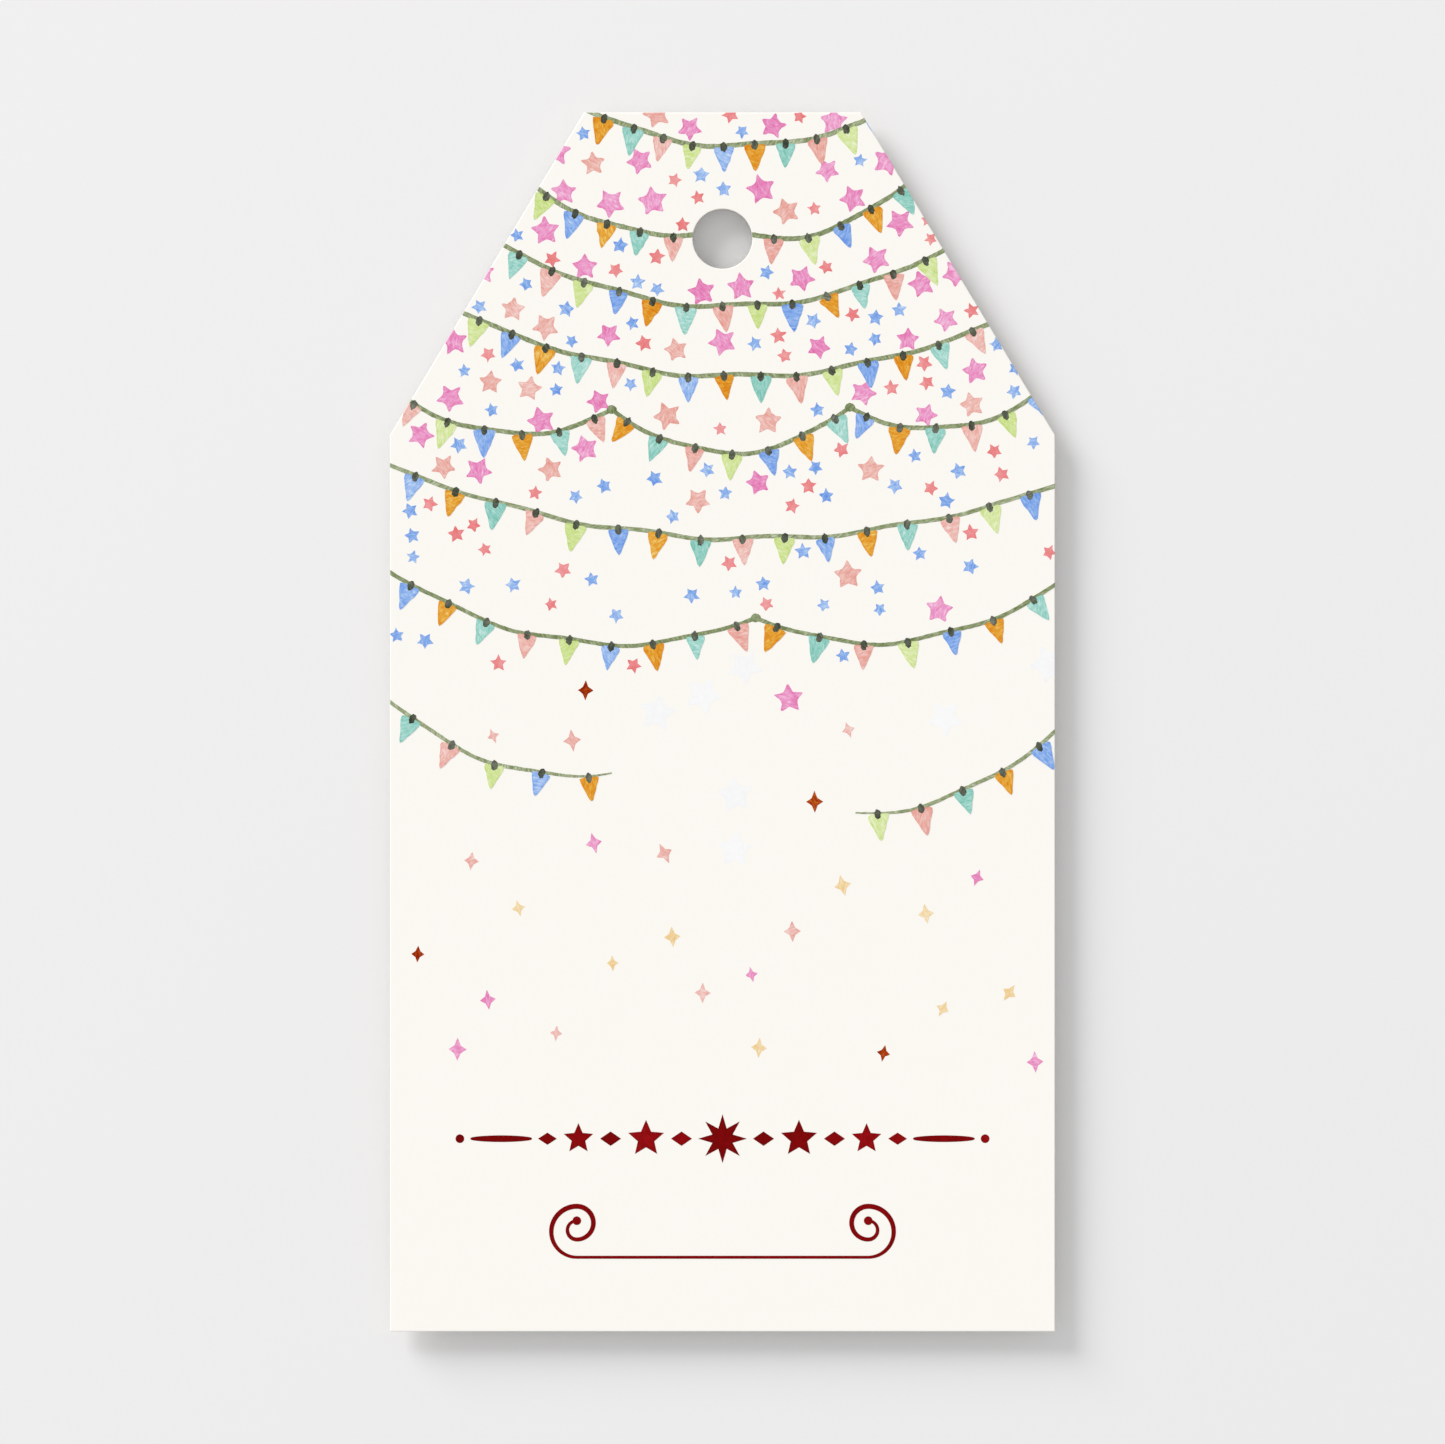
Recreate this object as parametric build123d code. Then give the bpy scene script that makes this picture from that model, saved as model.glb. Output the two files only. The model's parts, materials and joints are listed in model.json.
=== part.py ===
from build123d import *
import os

# Gift tag: one sheet of heavy card, die-cut to a shouldered outline, with one hole punched for its string.
# Sizes are in millimetres. The tag lies on its back: X runs across it, Y along it towards the hole,
# and Z up out of its front face. The origin is at the middle of the back face.

# Outline of the cutting die
tag_width = 60.0
tag_length = 110.0
top_width = 25.0
shoulder_drop = 29.1

# Card stock
card_thickness = 0.5

# String hole
hole_diameter = 5.4
hole_from_top = 11.4

# Small round that the cutting rule and the punch press into the edges of the face they enter
edge_roll = 0.08

# Lines of the outline, worked out from the sizes above
side_x = tag_width / 2
top_corner_x = top_width / 2
top_y = tag_length / 2
bottom_y = -tag_length / 2
shoulder_y = top_y - shoulder_drop
hole_y = top_y - hole_from_top


def tag_outline():
    """The die's flat shape: square foot, straight sides, slanted shoulders and a short top, with the hole."""
    with BuildSketch() as outline:
        with BuildLine():
            Polyline(
                (0, bottom_y),
                (side_x, bottom_y),
                (side_x, shoulder_y),
                (top_corner_x, top_y),
                (0, top_y),
            )
            mirror(about=Plane.YZ)
        make_face()
        with Locations((0, hole_y)):
            Circle(hole_diameter / 2, mode=Mode.SUBTRACT)
    return outline.sketch


def tag_card():
    """The card: the outline at its full thickness, with every edge of the front face rolled over a little."""
    with BuildPart() as card:
        extrude(tag_outline(), amount=card_thickness)
        front_face = card.faces().sort_by(Axis.Z)[-1]
        fillet(front_face.edges(), edge_roll)
    return card.part


os.makedirs("parts", exist_ok=True)
export_step(tag_card(), "parts/tag_card.step")
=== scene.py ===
"""Dresses a die-cut gift tag: the card's paper finish, the inks on its front, and the studio round it."""

import json
import math
import random
from collections import namedtuple

import bmesh
import bpy
from bpy.props import FloatProperty, FloatVectorProperty, IntProperty, PointerProperty
from mathutils import Color, Matrix, Vector


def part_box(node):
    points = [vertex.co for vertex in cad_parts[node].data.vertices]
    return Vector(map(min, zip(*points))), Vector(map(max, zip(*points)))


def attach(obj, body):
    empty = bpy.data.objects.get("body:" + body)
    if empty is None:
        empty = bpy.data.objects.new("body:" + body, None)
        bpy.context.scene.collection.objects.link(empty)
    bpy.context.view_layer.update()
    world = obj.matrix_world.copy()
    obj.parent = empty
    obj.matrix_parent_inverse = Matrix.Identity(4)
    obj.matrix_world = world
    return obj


bl_info = {
    "name": "Gift Tag",
    "version": (1, 0, 0),
    "blender": (4, 5, 0),
    "location": "3D View > Sidebar > Gift Tag",
    "description": "Finishes a die-cut card gift tag and prints bunting and stars on its front",
    "category": "Object",
}

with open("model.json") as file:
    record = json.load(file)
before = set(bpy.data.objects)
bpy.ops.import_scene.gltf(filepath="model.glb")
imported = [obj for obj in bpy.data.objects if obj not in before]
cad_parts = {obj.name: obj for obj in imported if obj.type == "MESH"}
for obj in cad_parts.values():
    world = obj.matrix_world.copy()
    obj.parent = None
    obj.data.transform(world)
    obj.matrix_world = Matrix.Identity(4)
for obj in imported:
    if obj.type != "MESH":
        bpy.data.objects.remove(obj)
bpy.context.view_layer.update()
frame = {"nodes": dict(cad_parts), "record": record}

# The print is laid out in millimetres from the middle of the front face. Finished pieces are in metres.
MM = 0.001

# Points of the card that are closer than this, in millimetres, count as level with each other.
LEVEL = 0.001

# The card, as the frame gives it
BODY = "root"
CARD = frame["nodes"]["tag_card"]
CARD_LOW, CARD_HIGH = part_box("tag_card")
HOLE = next(mount for mount in frame["record"]["mounts"] if mount["name"] == "string_hole")

# The photograph's frame, and how much of its width the tag takes up, in its own pixels
PHOTO_WIDTH_PX = 1445
TAG_WIDTH_PX = 664.9


def flat_points():
    """Points of the flat of the front face, inside its rolled edges."""
    return [v.co.xy / MM for v in CARD.data.vertices if v.co.z > CARD_HIGH.z - LEVEL * MM]


FLAT = flat_points()
SIDE_X = max(p.x for p in FLAT)
TOP_Y = max(p.y for p in FLAT)
FOOT_Y = min(p.y for p in FLAT)
TOP_CORNER = Vector((max(p.x for p in FLAT if p.y > TOP_Y - LEVEL), TOP_Y))
SHOULDER = Vector((SIDE_X, max(p.y for p in FLAT if p.x > SIDE_X - LEVEL)))
HOLE_CENTRE = Vector(HOLE["pos_m"][:2]) / MM
HOLE_RADIUS = min((p - HOLE_CENTRE).length for p in FLAT)
EDGE_ROLL = CARD_HIGH.x / MM - SIDE_X


def flat_sides():
    """The straight sides of the flat of the front face: a point on each, and the way out of the card."""
    rise = TOP_CORNER - SHOULDER
    sides = [(Vector((0, TOP_Y)), Vector((0, 1))), (Vector((0, FOOT_Y)), Vector((0, -1)))]
    for side in (1, -1):
        sides.append((Vector((side * SIDE_X, 0)), Vector((side, 0))))
        shoulder = Vector((side * SHOULDER.x, SHOULDER.y))
        sides.append((shoulder, Vector((side * rise.y, -rise.x)).normalized()))
    return sides


FLAT_SIDES = flat_sides()


def past_flat(point):
    """How far a point is off the flat of the front face, out past its outline or over its hole."""
    over_outline = max((point - edge).dot(outward) for edge, outward in FLAT_SIDES)
    return max(over_outline, HOLE_RADIUS - (point - HOLE_CENTRE).length)


def far_from_hole(point, margin):
    """Whether a point keeps that far from the rim of the punched hole."""
    return (point - HOLE_CENTRE).length > HOLE_RADIUS + margin


# Settings


def length_property(name, description, millimetres):
    """A size that a user may change, stored in metres."""
    return FloatProperty(
        name=name, description=description, default=millimetres * MM, min=0.0, unit="LENGTH"
    )


def colour_property(name, description, red, green, blue):
    """A colour that a user may change, given by its ordinary display values from 0 to 255."""
    default = (red / 255, green / 255, blue / 255)
    return FloatVectorProperty(
        name=name, description=description, default=default, size=3, min=0.0, max=1.0, subtype="COLOR_GAMMA"
    )


def angle_property(name, description, degrees):
    """An angle that a user may change."""
    return FloatProperty(name=name, description=description, default=math.radians(degrees), subtype="ANGLE")


def share_property(name, description, share):
    """A part of a whole that a user may change."""
    return FloatProperty(
        name=name, description=description, default=share, min=0.0, max=1.0, subtype="FACTOR"
    )


class CardFinish(bpy.types.PropertyGroup):
    """The paper that the tag is cut from."""

    colour: colour_property("Card", "Cream of the card's faces", 251, 248, 242)
    edge_colour: colour_property("Cut edge", "Bare fibres of the cut edge", 245, 240, 230)
    fibre: length_property("Fibre", "Width of the paper's fine unevenness", 0.12)
    cloud: length_property("Cloud", "Width of the paper's faint cloudiness", 3.5)
    tooth: length_property("Tooth", "Depth of the paper's fine unevenness", 0.0025)
    ply: length_property("Ply", "Thickness of the layers of fibres that show on the cut edge", 0.06)


class InkColours(bpy.types.PropertyGroup):
    """The inks of the print, each at its middle strength."""

    blue: colour_property("Blue", "Cornflower blue ink", 142, 178, 235)
    ochre: colour_property("Ochre", "Golden ochre ink", 228, 160, 52)
    teal: colour_property("Teal", "Pale teal ink", 157, 211, 200)
    lime: colour_property("Lime", "Pale lime ink", 212, 229, 158)
    salmon: colour_property("Salmon", "Soft salmon ink", 236, 182, 173)
    pink: colour_property("Pink", "Bright pink ink", 234, 148, 196)
    coral: colour_property("Coral", "Coral red ink", 236, 140, 142)
    straw: colour_property("Straw", "Pale straw ink", 242, 215, 166)
    rust: colour_property("Rust", "Dark rust ink", 166, 58, 6)
    sage: colour_property("Sage", "Sage green ink of the lines", 140, 152, 112)
    pine: colour_property("Pine", "Dark pine ink of the pegs", 84, 89, 76)
    snow: colour_property("Snow", "Cool white ink", 248, 248, 249)
    oxblood: colour_property("Oxblood", "Dark red ink of the ornaments", 128, 2, 4)


class PrintSizes(bpy.types.PropertyGroup):
    """How large the printed shapes are, and where the ornaments stand."""

    ink_height: length_property("Ink", "Height of one layer of ink above the card", 0.004)
    ink_soak: length_property("Soak", "Depth that the ink goes into the card", 0.02)
    line_width: length_property("Line", "Width of the bunting's line", 0.46)
    knot_width: length_property("Knot", "Width of the knots where two lengths of the bunting meet", 0.95)
    pennant_width: length_property("Pennant width", "Width of a pennant at its top", 2.15)
    pennant_drop: length_property("Pennant drop", "Length of a pennant from its line to its tip", 2.6)
    pennant_step: length_property("Pennant step", "Distance from pennant to pennant on the top line", 2.75)
    peg_width: length_property("Peg width", "Width of a peg", 0.66)
    peg_drop: length_property("Peg length", "Length of a peg", 1.02)
    big_star: length_property("Big star", "Width of the big stars", 2.8)
    small_star: length_property("Small star", "Width of the small stars", 1.55)
    snow_star: length_property("Snow star", "Width of the white stars", 3.6)
    sparkle: length_property("Sparkle", "Length of a four-pointed sparkle", 1.9)
    divider_width: length_property("Divider", "Width of the row of stars above the foot", 48.2)
    divider_height: length_property("Divider height", "Height of the row of stars above the foot", 17.4)
    writing_width: length_property("Writing line", "Width of the scrolled line to write on", 30.9)
    writing_height: length_property("Writing height", "Height of the writing line above the foot", 6.7)
    seed: IntProperty(name="Seed", description="Changes how the loose shapes fall", default=9, min=0)


class StageLook(bpy.types.PropertyGroup):
    """The studio: a pale floor with a low plinth, a soft side lamp, a lamp overhead and an even fill."""

    # The floor's colour goes from the first of these to the second, away from the side lamp: a painted
    # falloff of the lamp's light
    floor_lit: colour_property("Floor near the lamp", "Floor towards the side lamp", 241, 240, 240)
    floor_far: colour_property("Floor far from the lamp", "Floor away from the side lamp", 235, 235, 235)
    painted_falloff: length_property("Floor fade", "Distance over which the floor's colours fade", 160)
    plinth_height: length_property("Plinth", "How far the plinth holds the tag off the floor", 1.6)
    plinth_inset: length_property("Plinth inset", "How far the plinth keeps in from the tag's edges", 11.0)
    side_height: angle_property("Side lamp height", "Side lamp's angle above the floor", 25)
    side_turn: angle_property("Side lamp turn", "Side lamp's angle from the right, seen from above", 135)
    side_size: angle_property("Side lamp size", "Width of the side lamp as seen from the tag", 30)
    side_share: share_property("Side lamp share", "The side lamp's share of the light on the tag", 0.32)
    top_size: angle_property("Top lamp size", "Width of the overhead lamp as seen from the tag", 10)
    top_share: share_property("Top lamp share", "The overhead lamp's share of the light on the tag", 0.07)
    lens: FloatProperty(name="Lens", description="Camera's focal length", default=250, min=1, unit="CAMERA")


class GiftTagSettings(bpy.types.PropertyGroup):
    """Everything about the tag's look that a user would change."""

    card: PointerProperty(type=CardFinish)
    inks: PointerProperty(type=InkColours)
    sizes: PointerProperty(type=PrintSizes)
    stage: PointerProperty(type=StageLook)


def settings():
    """The tag's settings in the current scene."""
    return bpy.context.scene.gift_tag


# Materials


def linear(colour):
    """A display colour as the shader's own four numbers."""
    return (*Color(colour).from_srgb_to_scene_linear(), 1.0)


def node(tree, kind, inputs=None, **options):
    """Adds a shader node, with its options and its inputs, linked or not, by socket name or number."""
    made = tree.nodes.new(kind)
    for name, value in options.items():
        setattr(made, name, value)
    for socket, value in (inputs or {}).items():
        if isinstance(value, bpy.types.NodeSocket):
            tree.links.new(value, made.inputs[socket])
        else:
            made.inputs[socket].default_value = value
    return made


def noise(tree, place, scale, detail, roughness=0.5, distortion=0.0):
    """A cloudy pattern from 0 to 1."""
    inputs = {"Vector": place, "Scale": scale, "Detail": detail}
    inputs |= {"Roughness": roughness, "Distortion": distortion}
    return node(tree, "ShaderNodeTexNoise", inputs).outputs["Fac"]


def maths(tree, operation, *values):
    """One sum of up to three numbers or sockets."""
    return node(tree, "ShaderNodeMath", dict(enumerate(values)), operation=operation).outputs[0]


def swing(tree, value, amount):
    """A value from 0 to 1 turned into one that swings by an amount to each side of 0."""
    return maths(tree, "MULTIPLY_ADD", value, 2 * amount, -amount)


def ramp(tree, value, low, high, start, end):
    """A value that goes from start to end as another goes from low to high, and stays there."""
    inputs = {"Value": value, "From Min": low, "From Max": high, "To Min": start, "To Max": end}
    return node(tree, "ShaderNodeMapRange", inputs).outputs[0]


def mix(tree, factor, first, second):
    """A colour between two others."""
    inputs = {"Factor": factor, "A": first, "B": second}
    return node(tree, "ShaderNodeMix", inputs, data_type="RGBA").outputs["Result"]


def deepened(tree, colour, power):
    """A colour that gets deeper as the power goes above 1, and paler below."""
    return node(tree, "ShaderNodeGamma", {"Color": linear(colour), "Gamma": power}).outputs[0]


def new_material(name):
    """An empty node material with its Principled shader, ready to be fed."""
    material = bpy.data.materials.new(name)
    material.use_nodes = True
    tree = material.node_tree
    return material, tree, tree.nodes["Principled BSDF"]


def paper_tooth(tree, finish):
    """The card's tooth and its normals. Card and ink share their coordinates, so both have the same."""
    place = node(tree, "ShaderNodeTexCoord").outputs["Object"]
    tooth = noise(tree, place, 1 / finish.fibre, detail=3.0, roughness=0.6)
    bump = node(tree, "ShaderNodeBump", {"Strength": 1.0, "Distance": finish.tooth, "Height": tooth})
    return tooth, bump.outputs["Normal"]


def card_material(finish):
    """Smooth uncoated card: a faint cloudiness and fine fibres, and a rougher, warmer cut edge."""
    tooth_shade = 0.025
    cloud_shade = 0.03
    edge_shade = 0.6
    ply_stretch = 8
    least_rough, most_rough = 0.6, 0.8
    edge_tilt, face_tilt = 0.3, 0.75
    material, tree, shader = new_material("cream_card")
    place = node(tree, "ShaderNodeTexCoord").outputs
    tooth, normal = paper_tooth(tree, finish)
    cloud = noise(tree, place["Object"], 1 / finish.cloud, detail=2.0)
    shade = maths(tree, "ADD", swing(tree, tooth, tooth_shade), swing(tree, cloud, cloud_shade))
    face = deepened(tree, finish.colour, maths(tree, "ADD", shade, 1.0))

    # The fibres of the cut edge lie in thin plies, much longer than they are thick.
    plies_per_m = 1 / finish.ply
    squeeze = (plies_per_m / ply_stretch, plies_per_m / ply_stretch, plies_per_m)
    plies = node(tree, "ShaderNodeMapping", {"Vector": place["Object"], "Scale": squeeze})
    fibres = swing(tree, noise(tree, plies.outputs["Vector"], 1.0, detail=3.0), edge_shade)
    edge = deepened(tree, finish.edge_colour, maths(tree, "ADD", fibres, 1.0))

    # A normal's Z is near 1 on the faces and near 0 on the cut edge.
    facing = node(tree, "ShaderNodeSeparateXYZ", {0: place["Normal"]}).outputs["Z"]
    on_edge = ramp(tree, maths(tree, "ABSOLUTE", facing), edge_tilt, face_tilt, 1.0, 0.0)
    tree.links.new(mix(tree, on_edge, face, edge), shader.inputs["Base Color"])
    tree.links.new(ramp(tree, tooth, 0.0, 1.0, least_rough, most_rough), shader.inputs["Roughness"])
    tree.links.new(normal, shader.inputs["Normal"])
    shader.inputs["Specular IOR Level"].default_value = 0.25
    return material


def ink_material(name, colour, finish, streak=1.1, blotch=0.4):
    """A thin wash of ink: brush streaks, slow pools, a strength for each shape and a darker rim.

    Each adds to or takes from a middle amount of pigment, and the ink's colour is raised to that power.
    """
    streaks_per_mm = (6.2, 1.9, 1.0)
    pools_per_mm = 1.1
    own_strength = 0.15
    rim_strength = 0.16
    rim_start = 0.72
    middle_pigment, least_pigment = 0.98, 0.3
    least_rough, most_rough = 0.62, 0.82
    material, tree, shader = new_material(name)
    wash = node(tree, "ShaderNodeAttribute", attribute_name="wash").outputs["Vector"]
    tone = node(tree, "ShaderNodeAttribute", attribute_name="tone").outputs["Fac"]
    rim = node(tree, "ShaderNodeAttribute", attribute_name="rim").outputs["Fac"]
    brushed = node(tree, "ShaderNodeMapping", {"Vector": wash, "Scale": streaks_per_mm}).outputs["Vector"]
    streaks = noise(tree, brushed, 1.0, detail=3.0, roughness=0.62, distortion=0.5)
    pools = noise(tree, wash, pools_per_mm, detail=1.5)
    pigment = maths(tree, "ADD", swing(tree, streaks, streak), middle_pigment)
    pigment = maths(tree, "ADD", pigment, swing(tree, pools, blotch))
    pigment = maths(tree, "ADD", pigment, swing(tree, tone, own_strength))
    pigment = maths(tree, "ADD", pigment, ramp(tree, rim, rim_start, 1.0, 0.0, rim_strength))
    pigment = maths(tree, "MAXIMUM", pigment, least_pigment)
    tree.links.new(deepened(tree, colour, pigment), shader.inputs["Base Color"])
    tree.links.new(ramp(tree, streaks, 0.0, 1.0, least_rough, most_rough), shader.inputs["Roughness"])
    tree.links.new(paper_tooth(tree, finish)[1], shader.inputs["Normal"])
    shader.inputs["Specular IOR Level"].default_value = 0.05
    return material


# Meshes and objects


def edges_of(verts):
    """The edges that meet at some vertices, each once and in a fixed order."""
    return list(dict.fromkeys(edge for vert in verts for edge in vert.link_edges))


def add_object(name, data):
    """Puts a mesh, a lamp or a camera into the scene, at the origin."""
    made = bpy.data.objects.new(name, data)
    bpy.context.scene.collection.objects.link(made)
    return made


def add_mesh(name, bm, material):
    """Ends a bmesh and puts it into the scene, in one material."""
    mesh = bpy.data.meshes.new(name)
    bm.to_mesh(mesh)
    bm.free()
    mesh.materials.append(material)
    return add_object(name, mesh)


# Sheets of ink

# Where the print bends as it goes over the card's rolled edge, as shares of the roll. It ends at the last.
ROLL_BENDS = (0.0, 0.6, 0.9)

# Order of the inks on the card, in layers of ink
STAR_LAYER = 1
LINE_LAYER = 2
SPARKLE_LAYER = 2
PENNANT_LAYER = 3
ORNAMENT_LAYER = 3
PEG_LAYER = 4

# What each sheet and layout adds to the seed, so that all have random numbers of their own. Sheets of one
# kind also add their place in the order of their inks. The bunting's layout uses the seed itself.
LINE_SEED = 1
PENNANT_SEED = 10
PEG_SEED = 30
STAR_LAYOUT_SEED = 40
STAR_SEED = 41
SPARKLE_LAYOUT_SEED = 60
SPARKLE_SEED = 61
DIVIDER_SEED = 80
WRITING_SEED = 81

# Shapes of one ink that may cross lie this much above each other, so that they never share a plane.
CROSSING_LIFT = 0.0011


class InkSheet:
    """The shapes of one ink on the front face, drawn flat side by side and then given their height.

    Each vertex carries what the ink's material reads: rim is 1 on a shape's outline, where ink pools, tone
    is the shape's own strength, and wash is the vertex's place under the brush, turned to its stroke.
    """

    def __init__(self, seed):
        self.bm = bmesh.new()
        self.rim = self.bm.verts.layers.float.new("rim")
        self.tone = self.bm.verts.layers.float.new("tone")
        self.wash = self.bm.verts.layers.float_vector.new("wash")
        self.dice = random.Random(seed)

    def stroke(self, verts, outline):
        """Gives a new shape a brush direction, a place in the brush's pattern and a strength of its own."""
        reach = 90.0
        turn = Matrix.Rotation(self.dice.uniform(0, math.pi), 3, "Z")
        shift = Vector((self.dice.uniform(0, reach), self.dice.uniform(0, reach), 0))
        tone = self.dice.random()
        for vert in verts:
            vert[self.wash] = turn @ vert.co + shift
            vert[self.tone] = tone
            vert[self.rim] = 1.0 if vert in outline else 0.0

    def shape(
        self, corners, width, height, place, turn=0.0, waist=1.0, cuts=2, soft=0.5, ragged=0.03, lift=0.0
    ):
        """A cut shape: a ring of corners, every second one drawn in to the waist, softened and ragged."""
        bm = self.bm
        ring = bmesh.ops.create_circle(bm, segments=corners, radius=0.5)["verts"]
        bmesh.ops.scale(bm, verts=ring[1::2], vec=(waist, waist, 1))
        bmesh.ops.scale(bm, verts=ring, vec=(width, height, 1))
        split = bmesh.ops.subdivide_edges(bm, edges=edges_of(ring), cuts=cuts)["geom_split"]
        edges = [e for e in split if isinstance(e, bmesh.types.BMEdge)]
        outline = list(dict.fromkeys(v for e in edges for v in e.verts))
        bmesh.ops.smooth_vert(bm, verts=outline, factor=soft, use_axis_x=True, use_axis_y=True)
        for vert in outline:
            vert.co += vert.co.normalized() * self.dice.gauss(0, ragged)
        face = bmesh.ops.edgeloop_fill(bm, edges=edges)["faces"][0]
        centre = bmesh.ops.poke(bm, faces=[face])["verts"]
        verts = outline + centre
        self.stroke(verts, set(outline))
        settle = Matrix.Translation((*place, lift)) @ Matrix.Rotation(turn, 4, "Z")
        bmesh.ops.transform(bm, matrix=settle, verts=verts)

    def line(self, path, width, steps, ragged=0.06, lift=0.0):
        """A brushed line along path, a function from 0 to 1 that gives a point and a share of the width."""
        half = 0.5
        verts = bmesh.ops.create_grid(self.bm, x_segments=steps, y_segments=2, size=half)["verts"]
        sides = {v for v in verts if abs(v.co.y) > half / 2}
        near = half / steps
        for vert in verts:
            along, across = vert.co.x + half, vert.co.y
            point, share = path(along)
            ahead = path(along + near)[0] - path(along - near)[0]
            out = Vector((-ahead.y, ahead.x)).normalized()
            wobble = 1 + self.dice.gauss(0, ragged)
            vert.co = (*(point + out * across * width * share * wobble), lift)
        self.stroke(verts, sides)

    def trim(self, verts, edge, outward):
        """Cuts away what would print past an edge of the card, and creases what goes over its roll."""
        faces = list(dict.fromkeys(f for v in verts for f in v.link_faces))
        geometry = verts + edges_of(verts) + faces
        for bend in ROLL_BENDS:
            geometry = bmesh.ops.bisect_plane(
                self.bm, geom=geometry, dist=1e-5, plane_co=(*(edge + outward * bend * EDGE_ROLL), 0),
                plane_no=(*outward, 0), clear_outer=bend == ROLL_BENDS[-1],
            )["geom"]

    def trim_to_hole(self, crossing):
        """Cuts off the end of a line that runs into the punched hole, where it crosses the hole's rim."""
        reach = 1.2
        out = (crossing - HOLE_CENTRE).normalized()
        rim = HOLE_CENTRE + out * HOLE_RADIUS
        self.trim([v for v in self.bm.verts if (v.co.xy - rim).length < reach], rim, -out)

    def lay_on_card(self):
        """Trims the sheet to the card's outline, and bends it down over the rolled edges."""
        for edge, outward in FLAT_SIDES:
            self.trim(self.bm.verts[:], edge, outward)
        for vert in self.bm.verts:
            past = min(EDGE_ROLL, max(0.0, past_flat(vert.co.xy)))
            vert.co.z -= EDGE_ROLL - math.sqrt(EDGE_ROLL ** 2 - past ** 2)

    def piece(self, name, material, sizes, layer):
        """Gives the sheet its height on the card and makes it a piece that moves with the card."""
        self.lay_on_card()
        bm = self.bm
        raised = bmesh.ops.extrude_face_region(bm, geom=bm.faces[:], use_keep_orig=True)["geom"]
        bmesh.ops.scale(bm, verts=bm.verts[:], vec=(MM, MM, MM))
        bmesh.ops.translate(bm, verts=bm.verts[:], vec=(0, 0, CARD_HIGH.z - sizes.ink_soak))
        tops = [v for v in raised if isinstance(v, bmesh.types.BMVert)]
        bmesh.ops.translate(bm, verts=tops, vec=(0, 0, sizes.ink_soak + layer * sizes.ink_height))
        bmesh.ops.recalc_face_normals(bm, faces=bm.faces[:])
        self.sort_faces()
        self.map_flat()
        made = add_mesh(name, bm, material)
        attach(made, BODY)

    def sort_faces(self):
        """Puts the faces in the order of their corners, because an extrusion leaves them in any order."""
        verts = self.bm.verts
        verts.index_update()
        count = len(verts)

        def rank(face):
            corners = sorted(vert.index for vert in face.verts)
            return (corners[0] * count + corners[1]) * count + corners[-1]

        self.bm.faces.sort(key=rank)

    def map_flat(self):
        """A UV map straight down onto the card, which keeps the print sharp where its colours are baked."""
        margin = 0.01
        layer = self.bm.loops.layers.uv.new("OFBake")
        across = [v.co.x for v in self.bm.verts]
        along = [v.co.y for v in self.bm.verts]
        low = Vector((min(across), min(along)))
        size = Vector((max(across), max(along))) - low
        for face in self.bm.faces:
            for loop in face.loops:
                place = loop.vert.co.xy - low
                share = Vector((place.x / size.x, place.y / size.y))
                loop[layer].uv = share * (1 - 2 * margin) + Vector((margin, margin))


# Layout of the bunting


class Swag:
    """One hanging length of the bunting's line, between two points, with a sag in between.

    It may be knotted to the one before it, at its start, and it may hang loose at its end. It may start or
    end in the punched hole, and none crosses the hole.
    """

    # Points at which the swag is measured
    marks = 400

    # How far the brush wanders up and down along the line, and over what run
    wander = 0.2
    wander_run = 1.8

    # From this share of the way on, a loose end thins out to this share of the width.
    thins_from = 0.7
    thinnest = 0.4

    def __init__(self, start, end, sag, knotted=False, free_end=False):
        self.start = Vector(start)
        self.end = Vector(end)
        self.sag = sag
        self.knotted = knotted
        self.free_end = free_end

    def at(self, along):
        """The point at this share of the way."""
        point = self.start.lerp(self.end, along)
        drift = self.wander * math.sin(point.x / self.wander_run + self.start.y)
        point.y += 4 * along * (1 - along) * (drift - self.sag)
        return point

    def tilt(self, along):
        """The line's angle there."""
        near = 0.01
        way = self.at(along + near) - self.at(along - near)
        if way.x < 0:
            way.negate()
        return math.atan2(way.y, way.x)

    def depth(self):
        """How far down the tag the swag hangs: 0 at the tag's top and 1 at its middle."""
        return (TOP_Y - self.at(0.5).y) / TOP_Y

    def even_steps(self, step):
        """Shares of the way that lie about one step apart along the line."""
        lengths = [0.0]
        for k in range(self.marks):
            run = self.at((k + 1) / self.marks) - self.at(k / self.marks)
            lengths.append(lengths[-1] + run.length)
        count = max(1, round(lengths[-1] / step))
        wanted = [(k + 0.5) * lengths[-1] / count for k in range(count)]
        return [next(k for k, run in enumerate(lengths) if run >= w) / self.marks for w in wanted]

    def outside_hole(self, margin):
        """The first and last share of the way that keep that far from the rim of the punched hole."""
        shares = [k / self.marks for k in range(self.marks + 1)]
        clear = [share for share in shares if far_from_hole(self.at(share), margin)]
        return clear[0], clear[-1]

    def brushed(self, first, last):
        """The line between two shares of the way, as a path for the brush."""

        def path(share):
            loose = max(0.0, share - self.thins_from) / (1 - self.thins_from) if self.free_end else 0.0
            return self.at(first + (last - first) * share), 1 - (1 - self.thinnest) * loose

        return path


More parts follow.
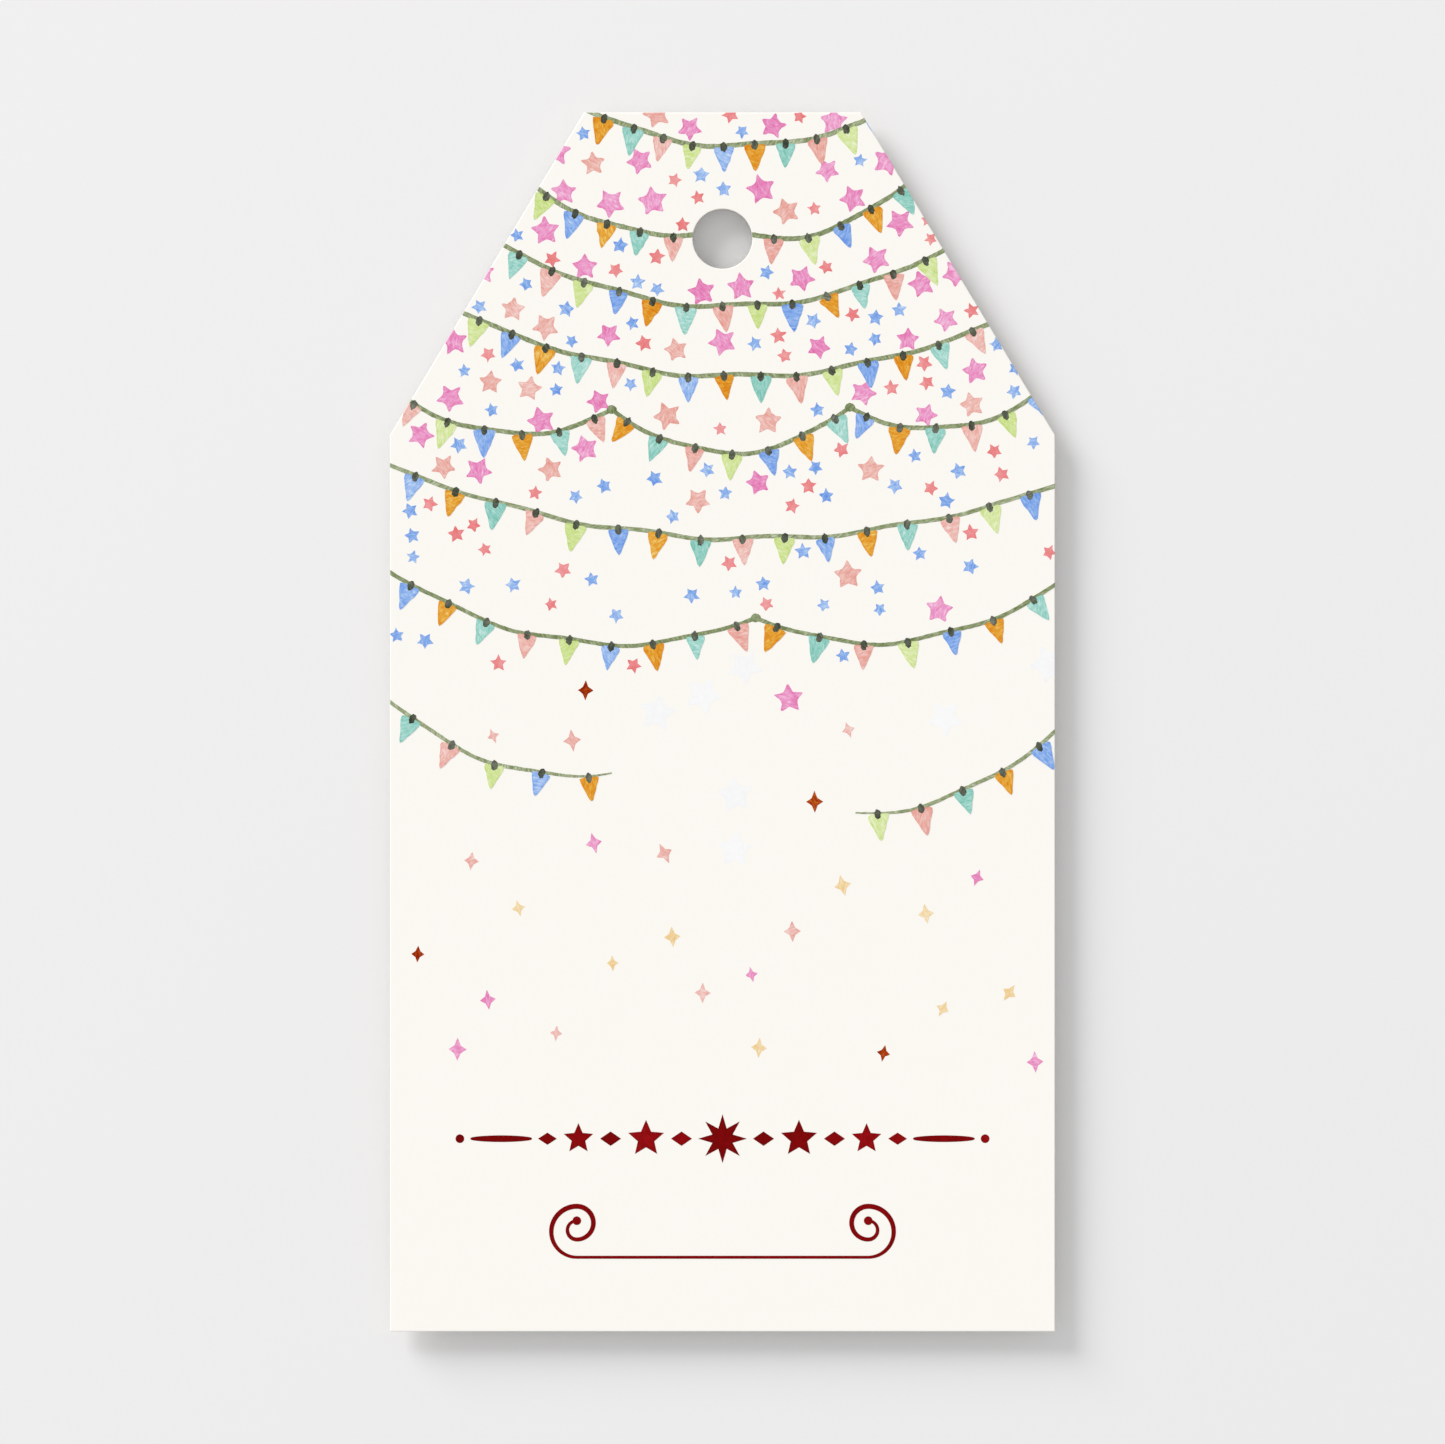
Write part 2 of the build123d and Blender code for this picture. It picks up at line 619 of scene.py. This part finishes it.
SWAGS = [
    Swag((-14.5, 56.4), (15.0, 55.2), 3.8),
    Swag((-19.5, 50.4), (0.0, 44.6), 2.8),
    Swag((0.0, 44.6), (19.5, 51.2), 3.4),
    Swag((-22.5, 44.6), (22.5, 44.0), 6.8),
    Swag((-26.5, 38.4), (27.0, 37.2), 6.6),
    Swag((-32.0, 31.8), (-10.0, 28.2), 3.8),
    Swag((-10.0, 28.2), (11.5, 28.4), 4.0, knotted=True),
    Swag((11.5, 28.4), (32.0, 32.6), 3.8, knotted=True),
    Swag((-33.0, 24.4), (33.0, 22.4), 6.8),
    Swag((-33.0, 15.6), (3.0, 9.4), 5.0),
    Swag((3.0, 9.4), (33.0, 14.4), 4.4, knotted=True),
    Swag((-33.0, 4.4), (-10.0, -4.6), 3.2, free_end=True),
    Swag((33.0, 2.0), (12.0, -8.2), 2.8, free_end=True),
]
PENNANT_INKS = ("blue", "ochre", "teal", "salmon", "lime")

# How the pennants hang: how closely they follow the line's tilt, how they sway and how their sizes differ
PENNANT_FOLLOW = 0.8
PENNANT_SWAY = 0.07
PENNANT_SCALE = (0.9, 1.06)

# How much further apart the pennants hang at the tag's middle than at its top
PENNANT_SPREAD = 0.5

Pennant = namedtuple("Pennant", "ink point tilt scale lift")


def pennants(sizes):
    """Where each pennant hangs, and in which ink."""
    dice = random.Random(sizes.seed)
    drop = sizes.pennant_drop / MM
    hung = []
    order = 0
    for index, swag in enumerate(SWAGS):
        spread = 1 + PENNANT_SPREAD * swag.depth()
        for along in swag.even_steps(sizes.pennant_step / MM * spread):
            point = swag.at(along)
            ink = PENNANT_INKS[order % len(PENNANT_INKS)]
            order += 1
            tilt = swag.tilt(along) * PENNANT_FOLLOW + dice.gauss(0, PENNANT_SWAY)
            scale = dice.uniform(*PENNANT_SCALE)
            if far_from_hole(point - Vector((0, drop / 2)), drop / 2):
                hung.append(Pennant(ink, point, tilt, scale, index * CROSSING_LIFT))

        # Each swag starts two inks further on, so that the swags don't repeat each other.
        order += 2
    return hung


# Layout of the loose shapes


class Ground:
    """The front face with what is printed on it, so that the next shape finds a free place."""

    # Two discs cover a pennant: how far down each is, and its radius, as shares of the pennant's drop.
    pennant_discs = ((0.3, 0.38), (0.74, 0.2))

    # Tries for each place that is looked for
    tries = 500

    def __init__(self, sizes):
        drop = sizes.pennant_drop / MM
        line = sizes.line_width / MM
        self.bunting = []
        for flag in pennants(sizes):
            for down, radius in self.pennant_discs:
                hang = Matrix.Rotation(flag.tilt, 2) @ Vector((0, -down * drop))
                self.bunting.append((flag.point + hang, radius * drop))
        for swag in SWAGS:
            self.bunting += [(swag.at(along), line / 2) for along in swag.even_steps(2 * line)]
        self.loose = [(HOLE_CENTRE, HOLE_RADIUS)]

    def scatter(self, dice, count, radius, gap, under, bleed, chance):
        """Up to count free places for shapes of this radius.

        Each keeps a gap to the other loose shapes, may reach a little under the bunting, and may bleed off
        the card. Chance is a function that says how likely a place is at each height on the tag.
        """
        found = []
        for _ in range(count * self.tries):
            if len(found) == count:
                break
            point = Vector((dice.uniform(-SIDE_X, SIDE_X), dice.uniform(FOOT_Y, TOP_Y)))
            if dice.random() > chance(point.y) or past_flat(point) > bleed:
                continue
            if any((point - p).length < radius + r - under for p, r in self.bunting):
                continue
            if any((point - p).length < radius + r + gap for p, r in self.loose):
                continue
            self.loose.append((point, radius))
            found.append(point)
        return found


StarKind = namedtuple("StarKind", "ink size count under fade streak cuts soft")

# The kinds of star. Under is how far they may reach under the bunting, and fade how fast they thin out down
# the tag. Big stars have softer points than small ones.
STAR_KINDS = (
    StarKind("pink", "big_star", 40, under=0.8, fade=3.0, streak=1.1, cuts=2, soft=0.5),
    StarKind("salmon", "big_star", 16, under=0.1, fade=3.4, streak=1.1, cuts=2, soft=0.5),
    StarKind("coral", "small_star", 42, under=0.1, fade=3.4, streak=0.4, cuts=1, soft=0.2),
    StarKind("blue", "small_star", 66, under=0.1, fade=3.8, streak=1.1, cuts=1, soft=0.2),
    StarKind("snow", "snow_star", 7, under=1.0, fade=0.3, streak=0.8, cuts=2, soft=0.5),
)

# Height on the tag where the stars end, the gap they keep, and how far they bleed off it, in radii
STARS_END = -12.0
STAR_GAP = 0.2
STAR_BLEED = 0.6


def lay_out_stars(sizes):
    """The places of the stars, by ink, and the ground with those places taken."""
    dice = random.Random(sizes.seed + STAR_LAYOUT_SEED)
    ground = Ground(sizes)
    places = {}
    for kind in STAR_KINDS:
        radius = getattr(sizes, kind.size) / MM / 2

        def chance(height, fade=kind.fade):
            return max(0.0, (height - STARS_END) / (TOP_Y - STARS_END)) ** fade

        places[kind.ink] = ground.scatter(
            dice, kind.count, radius, STAR_GAP, kind.under, radius * STAR_BLEED, chance
        )
    return places, ground


# Steps that make the tag


class GIFTTAG_OT_card(bpy.types.Operator):
    """Give the die-cut card its paper finish"""

    bl_idname = "gift_tag.card"
    bl_label = "Finish Card"

    def execute(self, context):
        CARD.data.materials.clear()
        CARD.data.materials.append(card_material(settings().card))
        return {"FINISHED"}


class GIFTTAG_OT_bunting(bpy.types.Operator):
    """Print the lines of bunting, with their pegs and pennants"""

    bl_idname = "gift_tag.bunting"
    bl_label = "Print Bunting"

    # How far a line runs on into the hole before it is trimmed, and how many lengths it is drawn in
    run_in = 0.4
    line_steps = 90

    # How much thinner a line is at the tag's middle than at its top
    line_taper = 0.25

    # How the shapes are drawn: the corners of a knot and of a peg, how flat a knot is, and the cuts that
    # each side of a pennant gets before it is softened
    knot_corners = 8
    peg_corners = 6
    knot_flatness = 0.85
    pennant_cuts = 5

    # A pennant is a ring of three corners. As shares of the ring's circle: how tall and wide that is, and
    # how far its flat side lies from the middle.
    pennant_corners = 3
    ring_tall = 0.75
    ring_wide = math.cos(math.radians(30))
    ring_flat = 0.25

    # How far below the line the middle of a peg and the top of a pennant are, as shares of the peg's length
    peg_sink = 0.12
    pennant_sink = 0.1

    def execute(self, context):
        look = settings()
        hung = pennants(look.sizes)
        self.print_lines(look)
        for index, ink in enumerate(PENNANT_INKS):
            self.print_pennants(look, ink, [flag for flag in hung if flag.ink == ink], index)
        self.print_pegs(look, hung)
        return {"FINISHED"}

    def print_lines(self, look):
        """The bunting's lines and their knots. A line that runs into the punched hole ends at its rim."""
        sizes = look.sizes
        sheet = InkSheet(sizes.seed + LINE_SEED)
        knot = sizes.knot_width / MM
        flat_knot = knot * self.knot_flatness
        for index, swag in enumerate(SWAGS):
            path = swag.brushed(*swag.outside_hole(-self.run_in))
            width = sizes.line_width / MM * (1 - self.line_taper * swag.depth())
            sheet.line(path, width, self.line_steps, lift=index * CROSSING_LIFT)
            for along in swag.outside_hole(0.0):
                if 0 < along < 1:
                    sheet.trim_to_hole(swag.at(along))
            if swag.knotted:
                lift = (index + 0.5) * CROSSING_LIFT
                sheet.shape(self.knot_corners, knot, flat_knot, swag.start, ragged=0.02, lift=lift)
        material = ink_material("sage_ink", look.inks.sage, look.card)
        sheet.piece("bunting_lines", material, sizes, LINE_LAYER)

    def print_pennants(self, look, ink, hung, index):
        """The pennants of one ink, each a ring of three corners with its flat side up."""
        sizes = look.sizes
        sheet = InkSheet(sizes.seed + PENNANT_SEED + index)
        sink = self.pennant_sink * sizes.peg_drop / MM
        for flag in hung:
            tall = sizes.pennant_drop / MM / self.ring_tall * flag.scale
            wide = sizes.pennant_width / MM / self.ring_wide * flag.scale
            hang = Matrix.Rotation(flag.tilt, 2) @ Vector((0, -tall * self.ring_flat - sink))
            sheet.shape(
                self.pennant_corners, wide, tall, flag.point + hang, flag.tilt + math.pi,
                cuts=self.pennant_cuts, lift=flag.lift,
            )
        material = ink_material(f"{ink}_ink", getattr(look.inks, ink), look.card)
        sheet.piece(f"pennants_{ink}", material, sizes, PENNANT_LAYER)

    def print_pegs(self, look, hung):
        """The pegs that hold the pennants to their lines."""
        sizes = look.sizes
        sheet = InkSheet(sizes.seed + PEG_SEED)
        wide, tall = sizes.peg_width / MM, sizes.peg_drop / MM
        for flag in hung:
            point = flag.point - Vector((0, tall * self.peg_sink))
            sheet.shape(self.peg_corners, wide, tall, point, flag.tilt, lift=flag.lift)
        material = ink_material("pine_ink", look.inks.pine, look.card, streak=0.6)
        sheet.piece("bunting_pegs", material, sizes, PEG_LAYER)


class GIFTTAG_OT_stars(bpy.types.Operator):
    """Print the scattered stars between the lines of bunting"""

    bl_idname = "gift_tag.stars"
    bl_label = "Print Stars"

    # Five points and the dips between them, how far in the dips go, and how the sizes differ
    corners = 10
    waist = 0.46
    scale = (0.85, 1.1)

    def execute(self, context):
        look = settings()
        sizes = look.sizes
        places, _ = lay_out_stars(sizes)
        for index, kind in enumerate(STAR_KINDS):
            sheet = InkSheet(sizes.seed + STAR_SEED + index)
            for point in places[kind.ink]:
                wide = getattr(sizes, kind.size) / MM * sheet.dice.uniform(*self.scale)
                turn = sheet.dice.uniform(0, math.pi)
                sheet.shape(self.corners, wide, wide, point, turn, self.waist, kind.cuts, kind.soft)
            ink = getattr(look.inks, kind.ink)
            material = ink_material(f"{kind.ink}_star_ink", ink, look.card, streak=kind.streak)
            sheet.piece(f"stars_{kind.ink}", material, sizes, STAR_LAYER)
        return {"FINISHED"}


class GIFTTAG_OT_sparkles(bpy.types.Operator):
    """Print the small four-pointed sparkles that drift down below the bunting"""

    bl_idname = "gift_tag.sparkles"
    bl_label = "Print Sparkles"

    # How many there are in each ink, how high they go, and what they keep clear of
    inks = (("salmon", 8), ("pink", 6), ("straw", 8), ("rust", 4))
    highest = 5.0
    divider_gap = 4.4
    gap = 2.6
    edge_gap = 1.0

    # How they are drawn: four points and the dips between them, how far in the dips go, their width for
    # their height, their tilt and how their sizes differ
    corners = 8
    waist = 0.42
    slimness = 0.78
    sway = 0.25
    scale = (0.75, 1.2)

    def execute(self, context):
        look = settings()
        sizes = look.sizes
        dice = random.Random(sizes.seed + SPARKLE_LAYOUT_SEED)
        _, ground = lay_out_stars(sizes)
        radius = sizes.sparkle / MM / 2
        lowest = (CARD_LOW.y + sizes.divider_height) / MM + self.divider_gap

        def chance(height):
            return 1.0 if lowest < height < self.highest else 0.0

        for index, (ink, count) in enumerate(self.inks):
            sheet = InkSheet(sizes.seed + SPARKLE_SEED + index)
            for point in ground.scatter(dice, count, radius, self.gap, 0.0, -self.edge_gap, chance):
                tall = 2 * radius * dice.uniform(*self.scale)
                turn = dice.gauss(0, self.sway)
                wide = tall * self.slimness
                sheet.shape(
                    self.corners, wide, tall, point, turn, self.waist, cuts=1, soft=0.2, ragged=0.015
                )
            material = ink_material(f"{ink}_sparkle_ink", getattr(look.inks, ink), look.card)
            sheet.piece(f"sparkles_{ink}", material, sizes, SPARKLE_LAYER)
        return {"FINISHED"}


Bead = namedtuple("Bead", "corners width height waist")


class GIFTTAG_OT_ornaments(bpy.types.Operator):
    """Print the dark red row of stars and the scrolled line to write on"""

    bl_idname = "gift_tag.ornaments"
    bl_label = "Print Ornaments"

    # The row of stars: its middle star, the beads on each side of it, and a swelled rule with a dot
    middle_star = Bead(16, 4.4, 4.4, 0.45)
    beads = (
        Bead(4, 1.9, 1.3, 1.0),
        Bead(10, 3.4, 3.4, 0.46),
        Bead(4, 1.9, 1.3, 1.0),
        Bead(10, 2.8, 2.8, 0.46),
        Bead(4, 1.7, 1.1, 1.0),
    )
    bead_gap = 0.55
    dot = Bead(12, 0.8, 0.8, 1.0)
    rule_width = 0.6
    rule_thinnest = 0.2
    rule_steps = 40

    # The writing line: its width, how much it swells in its scrolls, and the radii of their half turns
    stroke_width = 0.27
    stroke_swell = 0.7
    stroke_steps = 240
    scroll_radii = (2.3, 1.5, 0.85)

    def execute(self, context):
        look = settings()
        sizes = look.sizes
        material = ink_material("oxblood_ink", look.inks.oxblood, look.card, streak=0.25, blotch=0.15)
        row = InkSheet(sizes.seed + DIVIDER_SEED)
        middle = Vector((0, (CARD_LOW.y + sizes.divider_height) / MM))
        self.draw_stars(row, middle, sizes.divider_width / MM / 2)
        row.piece("star_divider", material, sizes, ORNAMENT_LAYER)
        line = InkSheet(sizes.seed + WRITING_SEED)
        middle = Vector((0, (CARD_LOW.y + sizes.writing_height) / MM))
        self.draw_writing_line(line, middle, sizes.writing_width / MM / 2)
        line.piece("writing_line", material, sizes, ORNAMENT_LAYER)
        return {"FINISHED"}

    def draw_bead(self, sheet, bead, place, lift=0.0):
        """One clean-edged shape of the ornaments."""
        sheet.shape(*bead[:3], place, waist=bead.waist, cuts=1, soft=0.0, ragged=0.0, lift=lift)

    def draw_stars(self, sheet, middle, half):
        """The row of stars, from its middle star out to the dots at its ends."""
        self.draw_bead(sheet, self.middle_star, middle)
        for side in (1, -1):
            away = self.middle_star.width / 2
            for bead in self.beads:
                away += self.bead_gap + bead.width / 2
                self.draw_bead(sheet, bead, middle + Vector((side * away, 0)))
                away += bead.width / 2
            self.draw_bead(sheet, self.dot, middle + Vector((side * (half - self.dot.width / 2), 0)))
            start = away + self.bead_gap
            end = half - self.dot.width - self.bead_gap

            def rule(share, side=side, start=start, end=end):
                swell = math.sqrt(math.sin(math.pi * min(1.0, max(0.0, share))))
                width = self.rule_thinnest + (1 - self.rule_thinnest) * swell
                return middle + Vector((side * (start + (end - start) * share), 0)), width

            sheet.line(rule, self.rule_width, self.rule_steps, ragged=0.0)

    def scroll(self, run):
        """The point this far along a scroll that starts level, of half turns that get tighter."""
        base, way = 0.0, 1
        for radius in self.scroll_radii:
            turn = min(run / radius, math.pi)
            point = Vector((math.sin(turn), 1 - math.cos(turn))) * way * radius + Vector((0, base))
            run -= math.pi * radius
            if run < 0:
                break
            base += 2 * way * radius
            way = -way
        return point

    def draw_writing_line(self, sheet, middle, half):
        """A straight line that curls up into a scroll at each end."""
        straight = half - self.scroll_radii[0]
        curled = math.pi * sum(self.scroll_radii)

        def path(share):
            run = abs(2 * share - 1) * (straight + curled) - straight
            bend = self.scroll(run) if run > 0 else Vector((run, 0))
            side = 1 if share > 0.5 else -1
            swell = math.sin(math.pi * min(1.0, max(0.0, run / curled)))
            return middle + Vector((side * (straight + bend.x), bend.y)), 1 + self.stroke_swell * swell

        sheet.line(path, self.stroke_width, self.stroke_steps, ragged=0.0)
        for end in (0.0, 1.0):
            self.draw_bead(sheet, self.dot, path(end)[0], lift=CROSSING_LIFT)


class GIFTTAG_OT_stage(bpy.types.Operator):
    """Set the tag on a low plinth on a pale floor, under two soft lamps, an even fill and a camera"""

    bl_idname = "gift_tag.stage"
    bl_label = "Set Stage"

    # Half the side of the floor, in metres
    floor_half = 20.0

    # How far the plinth's top stays below the card, so that they share no plane, and the round of its edges
    plinth_clearance = 0.01 * MM
    plinth_bevel = 0.4 * MM

    def execute(self, context):
        look = settings().stage
        self.lay_floor(look)
        self.add_lamp("side_lamp", look.side_turn, look.side_height, look.side_size, look.side_share)
        self.add_lamp("top_lamp", 0.0, math.pi / 2, look.top_size, look.top_share)
        self.fill_evenly(look)
        self.aim_camera(look)
        context.scene.view_settings.view_transform = "Standard"
        return {"FINISHED"}

    def lay_floor(self, look):
        """The floor with the plinth on it, which are no part of the tag."""
        bm = bmesh.new()
        bmesh.ops.create_grid(bm, x_segments=1, y_segments=1, size=self.floor_half)
        bmesh.ops.translate(bm, verts=bm.verts[:], vec=(0, 0, CARD_LOW.z - look.plinth_height))
        self.raise_plinth(bm, look)
        floor = add_mesh("floor", bm, self.floor_material(look))

    def raise_plinth(self, bm, look):
        """A low block under the middle of the tag, out of the camera's sight, that the tag rests on."""
        inset = look.plinth_inset
        foot = CARD_LOW.z - look.plinth_height - self.plinth_bevel
        low = Vector((CARD_LOW.x + inset, CARD_LOW.y + inset, foot))
        high = Vector((CARD_HIGH.x - inset, SHOULDER.y * MM, CARD_LOW.z - self.plinth_clearance))
        verts = bmesh.ops.create_cube(bm, size=1.0)["verts"]
        bmesh.ops.scale(bm, verts=verts, vec=high - low)
        bmesh.ops.translate(bm, verts=verts, vec=(low + high) / 2)
        bmesh.ops.bevel(
            bm, geom=edges_of(verts), offset=self.plinth_bevel, segments=3, profile=0.5,
            affect="EDGES", material=-1,
        )

    def floor_material(self, look):
        """A matt pale floor with painted shade: darker away from the side lamp, a painted falloff of its
        light.
        """
        material, tree, shader = new_material("pale_floor")
        place = node(tree, "ShaderNodeTexCoord").outputs["Object"]
        turn = (0, 0, math.pi - look.side_turn)
        turned = node(tree, "ShaderNodeMapping", {"Vector": place, "Rotation": turn})
        across = node(tree, "ShaderNodeSeparateXYZ", {0: turned.outputs["Vector"]}).outputs["X"]
        # Painted shade: the floor's colour darkens across this run, away from the side lamp
        fade = ramp(tree, across, -look.painted_falloff / 2, look.painted_falloff / 2, 0.0, 1.0)
        colour = mix(tree, fade, linear(look.floor_lit), linear(look.floor_far))
        tree.links.new(colour, shader.inputs["Base Color"])
        shader.inputs["Roughness"].default_value = 0.9
        shader.inputs["Specular IOR Level"].default_value = 0.1
        return material

    def add_lamp(self, name, turn, height, size, share):
        """A far-off lamp that gives the tag's front this share of its light."""
        light = bpy.data.lights.new(name, "SUN")
        light.energy = math.pi * share / math.sin(height)
        light.angle = size
        lamp = add_object(name, light)
        level = math.cos(height)
        towards = Vector((math.cos(turn) * level, math.sin(turn) * level, math.sin(height)))
        lamp.rotation_mode = "QUATERNION"
        lamp.rotation_quaternion = towards.to_track_quat("Z", "Y")

    def fill_evenly(self, look):
        """The rest of the light, from all round. The camera, gloss and glass see a pale grey instead."""
        world = bpy.data.worlds.new("even_fill")
        world.use_nodes = True
        bpy.context.scene.world = world
        tree = world.node_tree
        fill = tree.nodes["Background"]
        fill.inputs["Strength"].default_value = 1 - look.side_share - look.top_share
        fill.inputs["Color"].default_value = (1.0, 1.0, 1.0, 1.0)
        pale = node(tree, "ShaderNodeBackground", {"Color": linear(look.floor_far), "Strength": 1.0})
        ray = node(tree, "ShaderNodeLightPath").outputs
        seen = maths(tree, "MAXIMUM", ray["Is Camera Ray"], ray["Is Glossy Ray"])
        seen = maths(tree, "MAXIMUM", seen, ray["Is Transmission Ray"])
        both = node(tree, "ShaderNodeMixShader", {0: seen, 1: fill.outputs[0], 2: pale.outputs[0]})
        tree.links.new(both.outputs[0], tree.nodes["World Output"].inputs["Surface"])

    def aim_camera(self, look):
        """A long lens straight above the tag, so high that the tag is as wide as in the photograph."""
        lens = bpy.data.cameras.new("camera")
        lens.lens = look.lens
        camera = add_object("camera", lens)
        shown_width = (CARD_HIGH.x - CARD_LOW.x) * PHOTO_WIDTH_PX / TAG_WIDTH_PX
        distance = shown_width * look.lens / lens.sensor_width
        camera.location = (0, 0, CARD_HIGH.z + distance)
        bpy.context.scene.camera = camera


STEPS = (
    GIFTTAG_OT_card,
    GIFTTAG_OT_bunting,
    GIFTTAG_OT_stars,
    GIFTTAG_OT_sparkles,
    GIFTTAG_OT_ornaments,
    GIFTTAG_OT_stage,
)


class GIFTTAG_PT_panel(bpy.types.Panel):
    """The steps that make the tag, and its sizes and colours"""

    bl_idname = "GIFTTAG_PT_panel"
    bl_label = "Gift Tag"
    bl_space_type = "VIEW_3D"
    bl_region_type = "UI"
    bl_category = "Gift Tag"

    def draw(self, context):
        for step in STEPS:
            self.layout.operator(step.bl_idname)
        look = settings()
        for group in (look.card, look.inks, look.sizes, look.stage):
            box = self.layout.box()
            for name in group.__annotations__:
                box.prop(group, name)


CLASSES = (CardFinish, InkColours, PrintSizes, StageLook, GiftTagSettings, *STEPS, GIFTTAG_PT_panel)


def register():
    """Adds the tag's settings, steps and panel to Blender."""
    for cls in CLASSES:
        bpy.utils.register_class(cls)
    bpy.types.Scene.gift_tag = PointerProperty(type=GiftTagSettings)


def unregister():
    """Takes the tag's settings, steps and panel away again."""
    del bpy.types.Scene.gift_tag
    for cls in reversed(CLASSES):
        bpy.utils.unregister_class(cls)


def main():
    """Makes the whole tag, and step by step."""
    register()
    bpy.ops.gift_tag.card()
    bpy.ops.gift_tag.bunting()
    bpy.ops.gift_tag.stars()
    bpy.ops.gift_tag.sparkles()
    bpy.ops.gift_tag.ornaments()
    bpy.ops.gift_tag.stage()


if __name__ == "__main__":
    main()
